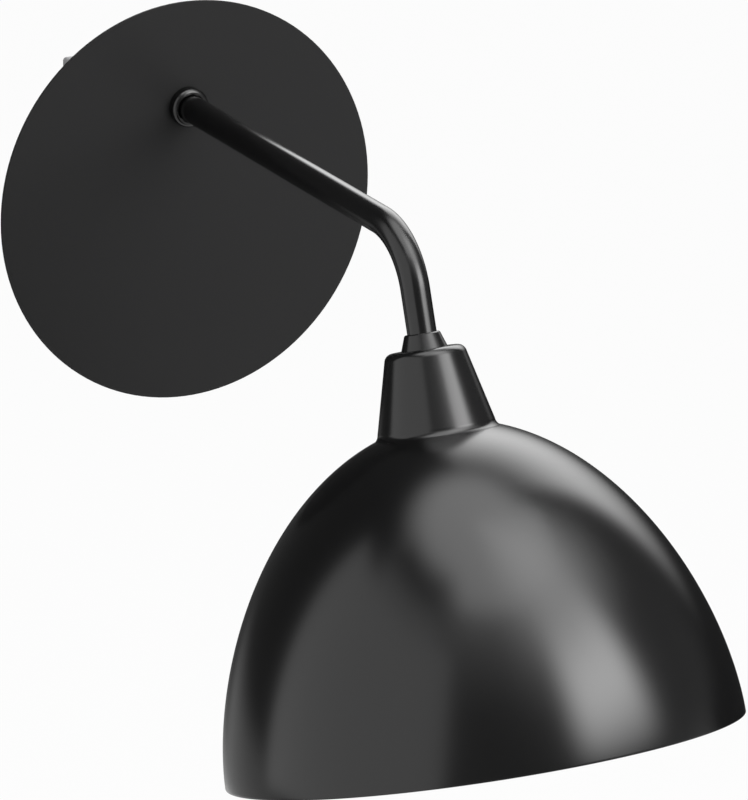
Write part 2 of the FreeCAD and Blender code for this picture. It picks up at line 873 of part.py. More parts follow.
def shade_ring():
    bore = holder_body_radius + running_clearance
    flange_end = ring_top + ring_flange_thickness
    flange = rod(ring_flange_radius, ring_top, flange_end)
    sleeve = rod(ring_sleeve_radius, ring_top, ring_bottom)
    ring = flange.fuse(sleeve).cut(rod(bore, ring_top - 1, ring_bottom + 1)).removeSplitter()
    for i in range(ring_notch_count):
        angle = math.radians(360 / ring_notch_count * i)
        notch = rod(ring_notch_radius, flange_end, ring_bottom + 1)
        notch.translate(FreeCAD.Vector(math.cos(angle), math.sin(angle), 0) * ring_sleeve_radius)
        ring = ring.cut(notch)
    return on_shade(ring)


# Lamp
def cap_top():
    return contact_face + lamp_contact_height + lamp_insulator_height


def lamp_contact():
    return on_shade(rod(lamp_contact_radius, contact_face, contact_face + lamp_contact_height))


def lamp_insulator():
    low = contact_face + lamp_contact_height
    wide = lamp_cap_radius - lamp_cap_wall
    return on_shade(turned([(0, low), (lamp_contact_radius, low), (wide, cap_top()), (0, cap_top())]))


def lamp_cap():
    top = cap_top()
    return on_shade(pipe(lamp_cap_radius, lamp_cap_radius - lamp_cap_wall, top, top + lamp_cap_height))


def glass_face(inset):
    """Closed half outline of the glass, drawn in from its outer face by inset."""
    neck_top = cap_top() + lamp_cap_height - lamp_neck_length
    neck_end = cap_top() + lamp_cap_height + lamp_neck_length / 2
    centre = contact_face + lamp_length - lamp_globe_radius
    neck = lamp_neck_radius - inset
    globe = lamp_globe_radius - inset
    lift = math.radians(lamp_shoulder_angle)
    join = FreeCAD.Vector(globe * math.cos(lift), 0, centre - globe * math.sin(lift))
    widest = FreeCAD.Vector(globe, 0, centre)
    bottom = FreeCAD.Vector(0, 0, centre + globe)
    top = FreeCAD.Vector(0, 0, neck_top)
    rim = FreeCAD.Vector(neck, 0, neck_top)
    shoulder = FreeCAD.Vector(neck, 0, neck_end)
    middle = (shoulder + join) / 2
    flank = middle + FreeCAD.Vector(-lamp_flank_hollow, 0, lamp_flank_hollow)
    edges = [Part.LineSegment(top, rim).toShape(),
             Part.LineSegment(rim, shoulder).toShape(),
             Part.Arc(shoulder, flank, join).toShape(),
             Part.Arc(join, widest, bottom).toShape(),
             Part.LineSegment(bottom, top).toShape()]
    return Part.Face(Part.Wire(edges))


def lamp_glass():
    outer = glass_face(0).revolve(ORIGIN, Z_AXIS, 360)
    inner = glass_face(lamp_glass_wall).revolve(ORIGIN, Z_AXIS, 360)
    return on_shade(outer.cut(inner))


# Output
pieces = [wall_box, cable_grommet, face_plate, plate_tabs, plate_screws, collar, arm_socket, stop_pin,
          socket_studs, socket_washers, socket_nuts, terminal_block, terminal_screws, block_screws,
          earth_stud, earth_tag, earth_nut, earth_lead, live_core, neutral_core,
          arm_tube, tube_clip, friction_washer, end_plug, arm_flex, tube_insert, nipple, tube_cone,
          lock_washer, lock_nut, neck_cup, shade_dome,
          holder_cap, holder_grub, holder_body, holder_core, holder_shell, centre_contact,
          holder_terminals, holder_live_lead, holder_neutral_lead, shade_ring,
          lamp_contact, lamp_insulator, lamp_cap, lamp_glass]

os.makedirs("parts", exist_ok=True)
for piece in pieces:
    shape = piece()
    if not shape.isValid():
        print("not valid:", piece.__name__)
    shape.exportStep("parts/%s.step" % piece.__name__)
    print("%-20s solids %d volume %.1f" % (piece.__name__, len(shape.Solids), shape.Volume))
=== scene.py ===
import json
import math

import bmesh
import bpy
from mathutils import Matrix, Vector


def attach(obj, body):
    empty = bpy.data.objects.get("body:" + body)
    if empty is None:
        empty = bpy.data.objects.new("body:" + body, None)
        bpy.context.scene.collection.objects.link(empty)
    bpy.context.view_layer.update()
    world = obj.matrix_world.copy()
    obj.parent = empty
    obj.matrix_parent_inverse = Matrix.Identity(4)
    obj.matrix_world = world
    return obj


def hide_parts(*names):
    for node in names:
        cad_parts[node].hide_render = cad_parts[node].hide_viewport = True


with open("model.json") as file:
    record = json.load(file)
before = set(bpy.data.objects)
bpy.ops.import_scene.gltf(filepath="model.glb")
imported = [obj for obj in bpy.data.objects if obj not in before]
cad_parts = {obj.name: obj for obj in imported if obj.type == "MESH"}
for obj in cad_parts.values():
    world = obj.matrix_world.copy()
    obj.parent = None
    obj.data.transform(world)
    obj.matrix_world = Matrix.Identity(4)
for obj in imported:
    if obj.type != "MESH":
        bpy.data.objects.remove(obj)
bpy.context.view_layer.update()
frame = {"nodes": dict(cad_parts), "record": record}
nodes = frame["nodes"]
print("frame loaded:", len(nodes), "nodes")

# the photograph's view
cameraSetup = {
    "target": (0.11641, -0.03171, -0.13414),
    "distance": 2.5882,
    "azimuth": -28.7274,
    "elevation": 18.5499,
    "lens": 218.10,
    "sensor": 36.0,
    "clip": (0.05, 60),
}


def outward(azimuth, elevation):
    # azimuth 0 faces the room along -Y, and grows towards +X
    a, e = math.radians(azimuth), math.radians(elevation)
    return Vector((math.sin(a) * math.cos(e), -math.cos(a) * math.cos(e), math.sin(e)))


def makeCamera(setup):
    data = bpy.data.cameras.new("roomCamera")
    data.lens = setup["lens"]
    data.sensor_width = setup["sensor"]
    data.sensor_fit = "HORIZONTAL"
    data.clip_start, data.clip_end = setup["clip"]
    camera = bpy.data.objects.new("roomCamera", data)
    bpy.context.collection.objects.link(camera)
    back = outward(setup["azimuth"], setup["elevation"])
    camera.location = Vector(setup["target"]) + back * setup["distance"]
    camera.rotation_euler = (-back).to_track_quat("-Z", "Y").to_euler()
    bpy.context.scene.camera = camera


makeCamera(cameraSetup)
print("camera ready")

# where the arm and the shade are, in metres, as the CAD has them
armLine = {
    "root": (0, -0.032, 0.054),
    "slope": 2.2,
    "reach": 0.219,
    "bendRadius": 0.040,
    "bendAngle": 69.5,
    "drop": 0.030,
}


def heading(fall):
    a = math.radians(fall)
    return Vector((0, -math.cos(a), -math.sin(a)))


def above(fall):
    a = math.radians(fall)
    return Vector((0, -math.sin(a), math.cos(a)))


shadeFall = armLine["slope"] + armLine["bendAngle"]
bendStart = Vector(armLine["root"]) + heading(armLine["slope"]) * armLine["reach"]
bendCentre = bendStart - above(armLine["slope"]) * armLine["bendRadius"]
bendEnd = bendCentre + above(shadeFall) * armLine["bendRadius"]
shadeTop = bendEnd + heading(shadeFall) * armLine["drop"]
shadePlace = Matrix.Translation(shadeTop) @ Matrix.Rotation(math.radians(90 + shadeFall), 4, "X")
armTurn = Matrix.Rotation(math.radians(90 + armLine["slope"]), 4, "X")
armPlace = Matrix.Translation(Vector(armLine["root"])) @ armTurn


# helpers for the materials; a noise mostly stays between these two values, and is spread from them
noiseLow, noiseHigh = 0.3, 0.7


def newMaterial(name):
    material = bpy.data.materials.new(name)
    material.use_nodes = True
    tree = material.node_tree
    return material, tree, tree.nodes["Principled BSDF"]


def noiseOn(tree, scale, detail=3.0):
    coords = tree.nodes.new("ShaderNodeTexCoord")
    noise = tree.nodes.new("ShaderNodeTexNoise")
    noise.inputs["Scale"].default_value = scale
    noise.inputs["Detail"].default_value = detail
    tree.links.new(coords.outputs["Object"], noise.inputs["Vector"])
    return noise.outputs["Fac"]


def between(tree, value, low, high):
    spread = tree.nodes.new("ShaderNodeMapRange")
    spread.inputs["From Min"].default_value = noiseLow
    spread.inputs["From Max"].default_value = noiseHigh
    spread.inputs["To Min"].default_value = low
    spread.inputs["To Max"].default_value = high
    tree.links.new(value, spread.inputs["Value"])
    return spread.outputs["Result"]


def colourBetween(tree, value, first, second):
    ramp = tree.nodes.new("ShaderNodeValToRGB")
    ramp.color_ramp.elements[0].position = noiseLow
    ramp.color_ramp.elements[1].position = noiseHigh
    ramp.color_ramp.elements[0].color = (*first, 1)
    ramp.color_ramp.elements[1].color = (*second, 1)
    tree.links.new(value, ramp.inputs["Fac"])
    return ramp.outputs["Color"]


def bumpOf(tree, value, depth, under=None):
    bump = tree.nodes.new("ShaderNodeBump")
    bump.inputs["Distance"].default_value = depth
    tree.links.new(value, bump.inputs["Height"])
    if under is not None:
        tree.links.new(under, bump.inputs["Normal"])
    return bump.outputs["Normal"]


def finish(name, look):
    # clouded colour and roughness, a soft wave in the surface and a fine grain on it
    material, tree, shader = newMaterial(name)
    cloud = noiseOn(tree, look.get("cloud", 14), 3)
    links = tree.links
    links.new(colourBetween(tree, cloud, look["dark"], look["light"]), shader.inputs["Base Color"])
    links.new(between(tree, cloud, look["smooth"], look["rough"]), shader.inputs["Roughness"])
    normal = bumpOf(tree, noiseOn(tree, look["wave"], 1), look["waveDepth"])
    normal = bumpOf(tree, noiseOn(tree, look["grain"], 2), look["grainDepth"], normal)
    links.new(normal, shader.inputs["Normal"])
    shader.inputs["Metallic"].default_value = look.get("metal", 0.0)
    shader.inputs["Specular IOR Level"].default_value = look.get("specular", 0.5)
    return material


# satin black lacquer on the arm, collar, cone, cup and shade: a faint orange peel
satinBlack = finish("satinBlack", {
    "dark": (0.0048, 0.0048, 0.0050), "light": (0.0060, 0.0060, 0.0062),
    "smooth": 0.20, "rough": 0.225,
    "wave": 260, "waveDepth": 0.000003, "grain": 1400, "grainDepth": 0.0000015,
})
# matt black powder coat on the face plate: fine pebbled grain
mattBlack = finish("mattBlack", {
    "dark": (0.0115, 0.0115, 0.0117), "light": (0.0135, 0.0135, 0.0138),
    "smooth": 0.62, "rough": 0.70,
    "wave": 420, "waveDepth": 0.00002, "grain": 1900, "grainDepth": 0.00002, "specular": 0.2,
})
# pale grey powder coat on the wall box
paleGrey = finish("paleGrey", {
    "dark": (0.46, 0.46, 0.47), "light": (0.52, 0.52, 0.53), "smooth": 0.5, "rough": 0.6,
    "wave": 500, "waveDepth": 0.00002, "grain": 1600, "grainDepth": 0.00001,
})
zincSteel = finish("zincSteel", {
    "dark": (0.46, 0.47, 0.49), "light": (0.60, 0.60, 0.61), "smooth": 0.26, "rough": 0.42, "cloud": 160,
    "wave": 900, "waveDepth": 0.00001, "grain": 2600, "grainDepth": 0.000004, "metal": 1.0,
})
brass = finish("brass", {
    "dark": (0.56, 0.36, 0.14), "light": (0.74, 0.53, 0.24), "smooth": 0.22, "rough": 0.38, "cloud": 90,
    "wave": 700, "waveDepth": 0.000008, "grain": 2400, "grainDepth": 0.000003, "metal": 1.0,
})
nickel = finish("nickel", {
    "dark": (0.55, 0.55, 0.55), "light": (0.69, 0.69, 0.68), "smooth": 0.18, "rough": 0.32, "cloud": 80,
    "wave": 700, "waveDepth": 0.000008, "grain": 2400, "grainDepth": 0.000003, "metal": 1.0,
})
creamPlastic = finish("creamPlastic", {
    "dark": (0.62, 0.58, 0.48), "light": (0.70, 0.66, 0.56), "smooth": 0.4, "rough": 0.5, "cloud": 60,
    "wave": 800, "waveDepth": 0.00001, "grain": 2600, "grainDepth": 0.000006,
})
# moulded black plastic of the lampholder and its ring: a light spark-eroded grain
blackPlastic = finish("blackPlastic", {
    "dark": (0.011, 0.011, 0.011), "light": (0.016, 0.016, 0.016), "smooth": 0.34, "rough": 0.46, "cloud": 40,
    "wave": 1300, "waveDepth": 0.000012, "grain": 3200, "grainDepth": 0.000006,
})
glazedCeramic = finish("glazedCeramic", {
    "dark": (0.70, 0.69, 0.65), "light": (0.77, 0.76, 0.73), "smooth": 0.1, "rough": 0.18, "cloud": 50,
    "wave": 240, "waveDepth": 0.000012, "grain": 1800, "grainDepth": 0.000002,
})
nylon = finish("nylon", {
    "dark": (0.60, 0.60, 0.56), "light": (0.67, 0.67, 0.63), "smooth": 0.42, "rough": 0.52, "cloud": 60,
    "wave": 700, "waveDepth": 0.00001, "grain": 2400, "grainDepth": 0.000004,
})
# moulded rubber of the cable grommet: dusty and dull
greyRubber = finish("greyRubber", {
    "dark": (0.045, 0.045, 0.045), "light": (0.075, 0.075, 0.074), "smooth": 0.6, "rough": 0.78, "cloud": 120,
    "wave": 900, "waveDepth": 0.00003, "grain": 3000, "grainDepth": 0.00001,
})
# flex sheath and the cores' insulation: drawn along their length
palePvc = finish("palePvc", {
    "dark": (0.58, 0.58, 0.56), "light": (0.66, 0.66, 0.64), "smooth": 0.42, "rough": 0.55, "cloud": 50,
    "wave": 500, "waveDepth": 0.00001, "grain": 2200, "grainDepth": 0.000005,
})
brownPvc = finish("brownPvc", {
    "dark": (0.15, 0.055, 0.022), "light": (0.20, 0.08, 0.03), "smooth": 0.34, "rough": 0.46, "cloud": 120,
    "wave": 600, "waveDepth": 0.00001, "grain": 2400, "grainDepth": 0.000004,
})
bluePvc = finish("bluePvc", {
    "dark": (0.028, 0.085, 0.34), "light": (0.04, 0.12, 0.42), "smooth": 0.34, "rough": 0.46, "cloud": 120,
    "wave": 600, "waveDepth": 0.00001, "grain": 2400, "grainDepth": 0.000004,
})


# the earth core's two colours run along it in stripes
def stripedPvc(name, look):
    material, tree, shader = newMaterial(name)
    coords = tree.nodes.new("ShaderNodeTexCoord")
    wave = tree.nodes.new("ShaderNodeTexWave")
    wave.bands_direction = "DIAGONAL"
    wave.inputs["Scale"].default_value = look["stripes"]
    wave.inputs["Distortion"].default_value = look["waver"]
    tree.links.new(coords.outputs["Object"], wave.inputs["Vector"])
    step = tree.nodes.new("ShaderNodeValToRGB")
    step.color_ramp.elements[0].position = 0.5 - look["edge"]
    step.color_ramp.elements[1].position = 0.5 + look["edge"]
    step.color_ramp.elements[0].color = (*look["first"], 1)
    step.color_ramp.elements[1].color = (*look["second"], 1)
    tree.links.new(wave.outputs["Fac"], step.inputs["Fac"])
    tree.links.new(step.outputs["Color"], shader.inputs["Base Color"])
    cloud = noiseOn(tree, look["cloud"])
    tree.links.new(between(tree, cloud, look["smooth"], look["rough"]), shader.inputs["Roughness"])
    grain = noiseOn(tree, look["grain"], 2)
    tree.links.new(bumpOf(tree, grain, look["grainDepth"]), shader.inputs["Normal"])
    return material


earthPvc = stripedPvc("earthPvc", {
    "first": (0.09, 0.34, 0.04), "second": (0.72, 0.62, 0.05), "stripes": 180, "waver": 0.3, "edge": 0.03,
    "smooth": 0.34, "rough": 0.46, "cloud": 120, "grain": 2400, "grainDepth": 0.000004,
})


# opal lamp: milky glass that lets some light through
def opalGlass(name, look):
    material, tree, shader = newMaterial(name)
    cloud = noiseOn(tree, look["cloud"], 2)
    tree.links.new(colourBetween(tree, cloud, look["dark"], look["light"]), shader.inputs["Base Color"])
    tree.links.new(between(tree, cloud, look["smooth"], look["rough"]), shader.inputs["Roughness"])
    wave = noiseOn(tree, look["wave"], 1)
    tree.links.new(bumpOf(tree, wave, look["waveDepth"]), shader.inputs["Normal"])
    shader.inputs["Transmission Weight"].default_value = look["through"]
    shader.inputs["IOR"].default_value = look["index"]
    return material


milkGlass = opalGlass("milkGlass", {
    "dark": (0.72, 0.72, 0.70), "light": (0.77, 0.77, 0.75), "smooth": 0.14, "rough": 0.2,
    "cloud": 30, "wave": 200, "waveDepth": 0.000004, "through": 0.25, "index": 1.5,
})

finishOf = {
    "black_paint": satinBlack, "plate_paint": mattBlack, "box_paint": paleGrey, "zinc_steel": zincSteel,
    "brass": brass, "nickel_cap": nickel, "cream_plastic": creamPlastic, "black_plastic": blackPlastic,
    "white_ceramic": glazedCeramic, "nylon": nylon, "grey_rubber": greyRubber, "flex_sheath": palePvc,
    "brown_core": brownPvc, "blue_core": bluePvc, "earth_core": earthPvc, "lamp_glass": milkGlass,
}

for entry in frame["record"]["subparts"]:
    for materialSlot in nodes[entry["node"]].material_slots:
        materialSlot.material = finishOf[entry["material_slot"]]
print("finishes on", len(nodes), "nodes")


# helpers for the Geometry Nodes pieces: a flat grid is wrapped round an axis, its first side
# going round and its second side following the outline of the wall
mergeDistance = 0.000002
creaseAngle = 0.6


class NodeDesk:
    def __init__(self, name, inputs):
        self.tree = bpy.data.node_groups.new(name, "GeometryNodeTree")
        for label, value in inputs.items():
            kind = "NodeSocketInt" if isinstance(value, int) else "NodeSocketFloat"
            self.tree.interface.new_socket(label, in_out="INPUT", socket_type=kind)
        self.tree.interface.new_socket("Geometry", in_out="OUTPUT", socket_type="NodeSocketGeometry")
        self.given = self.tree.nodes.new("NodeGroupInput")
        self.out = self.tree.nodes.new("NodeGroupOutput")

    def size(self, label):
        return self.given.outputs[label]

    def put(self, kind, values=None):
        node = self.tree.nodes.new(kind)
        for label, value in (values or {}).items():
            self.feed(node.inputs[label], value)
        return node

    def feed(self, socket, value):
        if isinstance(value, bpy.types.NodeSocket):
            self.tree.links.new(value, socket)
        else:
            socket.default_value = value

    def calc(self, operation, first, second=0.0, third=0.0):
        node = self.tree.nodes.new("ShaderNodeMath")
        node.operation = operation
        for socket, value in zip(node.inputs, (first, second, third)):
            self.feed(socket, value)
        return node.outputs[0]

    def pick(self, test, whenFalse, whenTrue):
        node = self.tree.nodes.new("GeometryNodeSwitch")
        node.input_type = "FLOAT"
        self.feed(node.inputs["Switch"], test)
        self.feed(node.inputs["False"], whenFalse)
        self.feed(node.inputs["True"], whenTrue)
        return node.outputs[0]

    def stretchTo(self, value, low, high, newLow, newHigh):
        # carries a value from one range to another, held at both ends
        node = self.tree.nodes.new("ShaderNodeMapRange")
        for label, number in (("Value", value), ("From Min", low), ("From Max", high),
                              ("To Min", newLow), ("To Max", newHigh)):
            self.feed(node.inputs[label], number)
        return node.outputs["Result"]

    def grid(self, around, along):
        mesh = self.put("GeometryNodeMeshGrid", {"Size X": 1.0, "Size Y": 1.0})
        self.feed(mesh.inputs["Vertices X"], around)
        self.feed(mesh.inputs["Vertices Y"], along)
        place = self.put("GeometryNodeInputPosition")
        parts = self.put("ShaderNodeSeparateXYZ", {"Vector": place.outputs[0]})
        turn = self.calc("MULTIPLY", self.calc("ADD", parts.outputs["X"], 0.5), 2 * math.pi)
        share = self.calc("ADD", parts.outputs["Y"], 0.5)
        return mesh.outputs["Mesh"], turn, share

    def thereAndBack(self, share, start, end, outer, inner):
        # along the outside, back along the inside and closed; gives the place along and the inset
        step = self.calc("DIVIDE", 1.0, self.calc("SUBTRACT", self.size("Along"), 1))
        isInside = self.calc("GREATER_THAN", share, 0.5001)
        nearEnd = self.calc("SUBTRACT", 1.0, self.calc("MULTIPLY", step, 0.5))
        isClosing = self.calc("GREATER_THAN", share, nearEnd)
        outgoing = self.stretchTo(share, 0.0, 0.5, start, end)
        turned, back = self.calc("ADD", step, 0.5), self.calc("SUBTRACT", 1.0, step)
        returning = self.stretchTo(share, turned, back, end, start)
        along = self.pick(isClosing, self.pick(isInside, outgoing, returning), start)
        inset = self.pick(isClosing, self.pick(isInside, outer, inner), outer)
        return along, inset

    def close(self, mesh, x, y, z, material):
        place = self.put("ShaderNodeCombineXYZ", {"X": x, "Y": y, "Z": z})
        moved = self.put("GeometryNodeSetPosition", {"Geometry": mesh, "Position": place.outputs[0]})
        merged = self.put("GeometryNodeMergeByDistance",
                          {"Geometry": moved.outputs[0], "Distance": mergeDistance})
        smooth = self.put("GeometryNodeSetShadeSmooth", {"Geometry": merged.outputs[0]})
        angle = self.put("GeometryNodeInputMeshEdgeAngle")
        crease = self.put("GeometryNodeSetShadeSmooth",
                          {"Geometry": smooth.outputs[0], "Shade Smooth": False})
        crease.domain = "EDGE"
        sharp = self.calc("GREATER_THAN", angle.outputs["Unsigned Angle"], creaseAngle)
        self.feed(crease.inputs["Selection"], sharp)
        real = self.put("GeometryNodeRealizeInstances", {"Geometry": crease.outputs[0]})
        painted = self.put("GeometryNodeSetMaterial", {"Geometry": real.outputs[0], "Material": material})
        self.tree.links.new(painted.outputs[0], self.out.inputs["Geometry"])


def bakePiece(name, desk, values, place, body, slotName, *replaced):
    carrier = bpy.data.objects.new(name + "Maker", bpy.data.meshes.new(name + "Maker"))
    bpy.context.collection.objects.link(carrier)
    modifier = carrier.modifiers.new("maker", "NODES")
    modifier.node_group = desk.tree
    for item in desk.tree.interface.items_tree:
        if item.in_out == "INPUT" and item.name in values:
            modifier[item.identifier] = values[item.name]
    depsgraph = bpy.context.evaluated_depsgraph_get()
    mesh = bpy.data.meshes.new_from_object(carrier.evaluated_get(depsgraph), depsgraph=depsgraph)
    carrier.modifiers.remove(modifier)
    bpy.data.objects.remove(carrier)
    mesh.name = name
    mesh.transform(place)
    work = bmesh.new()
    work.from_mesh(mesh)
    if work.calc_volume(signed=True) < 0:
        bmesh.ops.reverse_faces(work, faces=work.faces)
    work.to_mesh(mesh)
    volume = work.calc_volume(signed=True)
    openEdges = sum(1 for edge in work.edges if len(edge.link_faces) != 2)
    work.free()
    piece = bpy.data.objects.new(name, mesh)
    bpy.context.collection.objects.link(piece)
    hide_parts(*replaced)
    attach(piece, body)
    print(name, len(mesh.polygons), "faces,", round(volume * 1e6, 3), "cm3, open edges", openEdges)
    return piece


# the spun shade: its outside follows one rule from the seat under the cup down to the rim
shadeShell = {
    "Rim Radius": 0.13245, "Height": 0.167, "Height Power": 1.73, "Radius Power": 1.97, "Wall": 0.0009,
    "Seat Radius": 0.032, "Hole Radius": 0.0203, "Shade Height": 0.204, "Around": 257, "Along": 201,
}


def spunShade(sizes):
    desk = NodeDesk("spunShade", sizes)
    calc, size = desk.calc, desk.size
    mesh, turn, share = desk.grid(size("Around"), size("Along"))
    # shares of the outline: seat, outside, rolled rim, inside, then under the seat back to the hole
    seatEnd, outsideEnd, rimEnd, insideEnd, underEnd, closed = 0.04, 0.48, 0.53, 0.96, 0.995, 0.999
    hair = 0.0001
    halfWall = calc("MULTIPLY", size("Wall"), 0.5)
    rim, seat = size("Rim Radius"), size("Seat Radius")
    innerRim = calc("SUBTRACT", rim, size("Wall"))
    innerHeight = calc("SUBTRACT", size("Height"), size("Wall"))

    def rise(radius, widest, height):
        part = calc("POWER", calc("DIVIDE", radius, widest), size("Radius Power"))
        left = calc("MAXIMUM", calc("SUBTRACT", 1.0, part), 0.0)
        lift = calc("MULTIPLY", height, calc("POWER", left, calc("DIVIDE", 1.0, size("Height Power"))))
        return calc("MAXIMUM", lift, halfWall)

    def swell(widest, angle):
        # the rings close up towards the steep rim
        return calc("MULTIPLY_ADD", calc("SUBTRACT", widest, seat), calc("SINE", angle), seat)

    outside = swell(rim, desk.stretchTo(share, seatEnd, outsideEnd, 0.0, math.pi / 2))
    inside = swell(innerRim, desk.stretchTo(share, rimEnd, insideEnd, math.pi / 2, 0.0))
    roll = desk.stretchTo(share, outsideEnd, rimEnd, 0.0, math.pi)
    rolled = calc("MULTIPLY_ADD", halfWall, calc("COSINE", roll), calc("SUBTRACT", rim, halfWall))
    rolledLift = calc("MULTIPLY", halfWall, calc("SUBTRACT", 1.0, calc("SINE", roll)))
    seatLine = desk.stretchTo(share, 0.0, seatEnd, size("Hole Radius"), seat)
    underLine = desk.stretchTo(share, insideEnd, underEnd, seat, size("Hole Radius"))
    seatLift = rise(seat, rim, size("Height"))
    underLift = calc("SUBTRACT", seatLift, size("Wall"))
    closing = calc("GREATER_THAN", share, closed)

    radius, lift = underLine, underLift
    for end, sectionRadius, sectionLift in (
            (insideEnd + hair, inside, rise(inside, innerRim, innerHeight)),
            (rimEnd + hair, rolled, rolledLift),
            (outsideEnd + hair, outside, rise(outside, rim, size("Height"))),
            (seatEnd + hair, seatLine, seatLift)):
        before = calc("LESS_THAN", share, end)
        radius = desk.pick(before, radius, sectionRadius)
        lift = desk.pick(before, lift, sectionLift)
    radius = desk.pick(closing, radius, size("Hole Radius"))
    lift = desk.pick(closing, lift, seatLift)
    x, y = calc("MULTIPLY", radius, calc("COSINE", turn)), calc("MULTIPLY", radius, calc("SINE", turn))
    desk.close(mesh, x, y, calc("SUBTRACT", size("Shade Height"), lift), satinBlack)
    return desk


bakePiece("spunShade", spunShade(shadeShell), shadeShell, shadePlace, "arm", "black_paint", "shade_dome")

# the arm tube follows the arm's line: straight, one bend, straight
tubeWall = {
    "Radius": 0.0075, "Bore": 0.0060, "Start": -0.01345, "Reach": armLine["reach"],
    "Bend Radius": armLine["bendRadius"], "Bend Angle": math.radians(armLine["bendAngle"]),
    "Drop": armLine["drop"], "Around": 65, "Along": 401,
}


def bentTube(sizes):
    desk = NodeDesk("bentTube", sizes)
    calc, size = desk.calc, desk.size
    mesh, turn, share = desk.grid(size("Around"), size("Along"))
    arc = calc("MULTIPLY", size("Bend Radius"), size("Bend Angle"))
    end = calc("ADD", calc("ADD", size("Reach"), arc), size("Drop"))
    along, radius = desk.thereAndBack(share, size("Start"), end, size("Radius"), size("Bore"))
    past = calc("SUBTRACT", along, size("Reach"))
    bent = calc("MAXIMUM", calc("DIVIDE", past, size("Bend Radius")), 0.0)
    angle = calc("MINIMUM", bent, size("Bend Angle"))
    rest = calc("MAXIMUM", calc("SUBTRACT", past, arc), 0.0)
    sine, cosine = calc("SINE", angle), calc("COSINE", angle)
    reach = calc("ADD", calc("MINIMUM", along, size("Reach")), calc("MULTIPLY", size("Bend Radius"), sine))
    reach = calc("MULTIPLY_ADD", rest, cosine, reach)
    lift = calc("MULTIPLY", size("Bend Radius"), calc("SUBTRACT", cosine, 1.0))
    lift = calc("SUBTRACT", lift, calc("MULTIPLY", rest, sine))
    offset = calc("MULTIPLY", radius, calc("SINE", turn))
    x, y = calc("MULTIPLY", radius, calc("COSINE", turn)), calc("MULTIPLY_ADD", offset, cosine, lift)
    desk.close(mesh, x, y, calc("MULTIPLY_ADD", offset, sine, reach), satinBlack)
    return desk


bakePiece("bentTube", bentTube(tubeWall), tubeWall, armPlace, "arm", "black_paint", "arm_tube")

# the screw cap of the lamp and the holder's brass shell: a rolled thread and a plain skirt
rolledCap = {
    "Crest Radius": 0.0132, "Wall": 0.0004, "Low": 0.041, "Length": 0.019, "Pitch": 0.003629, "Depth": 0.0009,
    "Skirt": 0.0070, "Around": 97, "Along": 241,
}
rolledShell = {
    "Crest Radius": 0.0142, "Wall": 0.0004, "Low": 0.033, "Length": 0.021, "Pitch": 0.003629, "Depth": 0.0005,
    "Skirt": 0.0012, "Around": 97, "Along": 241,
}


def rolledThread(name, sizes, material):
    desk = NodeDesk(name, sizes)
    calc, size = desk.calc, desk.size
    mesh, turn, share = desk.grid(size("Around"), size("Along"))
    low, lead = size("Low"), size("Pitch")
    high = calc("ADD", low, size("Length"))
    height, wall = desk.thereAndBack(share, low, high, 0.0, size("Wall"))
    turns = calc("MULTIPLY", calc("DIVIDE", height, lead), 2 * math.pi)
    wave = calc("SINE", calc("SUBTRACT", turns, turn))
    fadeIn = desk.stretchTo(height, low, calc("ADD", low, lead), 0.0, 1.0)
    skirtTop = calc("SUBTRACT", high, size("Skirt"))
    fadeOut = desk.stretchTo(height, calc("SUBTRACT", skirtTop, lead), skirtTop, 1.0, 0.0)
    groove = calc("MULTIPLY", size("Depth"), calc("MULTIPLY_ADD", wave, -0.5, 0.5))
    groove = calc("MULTIPLY", groove, calc("MULTIPLY", fadeIn, fadeOut))
    radius = calc("SUBTRACT", calc("SUBTRACT", size("Crest Radius"), groove), wall)
    x, y = calc("MULTIPLY", radius, calc("COSINE", turn)), calc("MULTIPLY", radius, calc("SINE", turn))
    desk.close(mesh, x, y, height, material)
    return desk


bakePiece("rolledCap", rolledThread("rolledCap", rolledCap, nickel), rolledCap, shadePlace,
          "lamp", "nickel_cap", "lamp_cap")
bakePiece("rolledShell", rolledThread("rolledShell", rolledShell, brass), rolledShell, shadePlace,
          "arm", "brass", "holder_shell")
print("pieces made")

# pale floor and white surroundings; soft boxes light the object, and soft-edged cards outside the
# picture, listed from the farthest to the nearest, give the black gloss its lights and darks
room = {
    "middle": (0, -0.34, -0.13),
    "floorHeight": -1.0,
    "floorSize": 40.0,
    "floorShare": 0.96,
    "floorTone": 0.86,
    "fill": 0.30,
    "cardDistance": 2.0,
    "cardStep": 0.03,
    "cardCells": 48,
}
softBoxes = {
    "frontBox": {"azimuth": 33, "elevation": 8, "distance": 2.3,
        "width": 1.3, "height": 2.0, "radiance": 3.8},
    "overheadBox": {"azimuth": 20, "elevation": 80, "distance": 2.2,
        "width": 2.0, "height": 2.0, "radiance": 0.8},
    "rearBox": {"azimuth": 134, "elevation": 33, "distance": 2.3,
        "width": 1.2, "height": 1.5, "radiance": 2.0},
    "lowBox": {"azimuth": 50, "elevation": -30, "distance": 0.8,
        "width": 0.5, "height": 0.4, "radiance": 3.6},
}
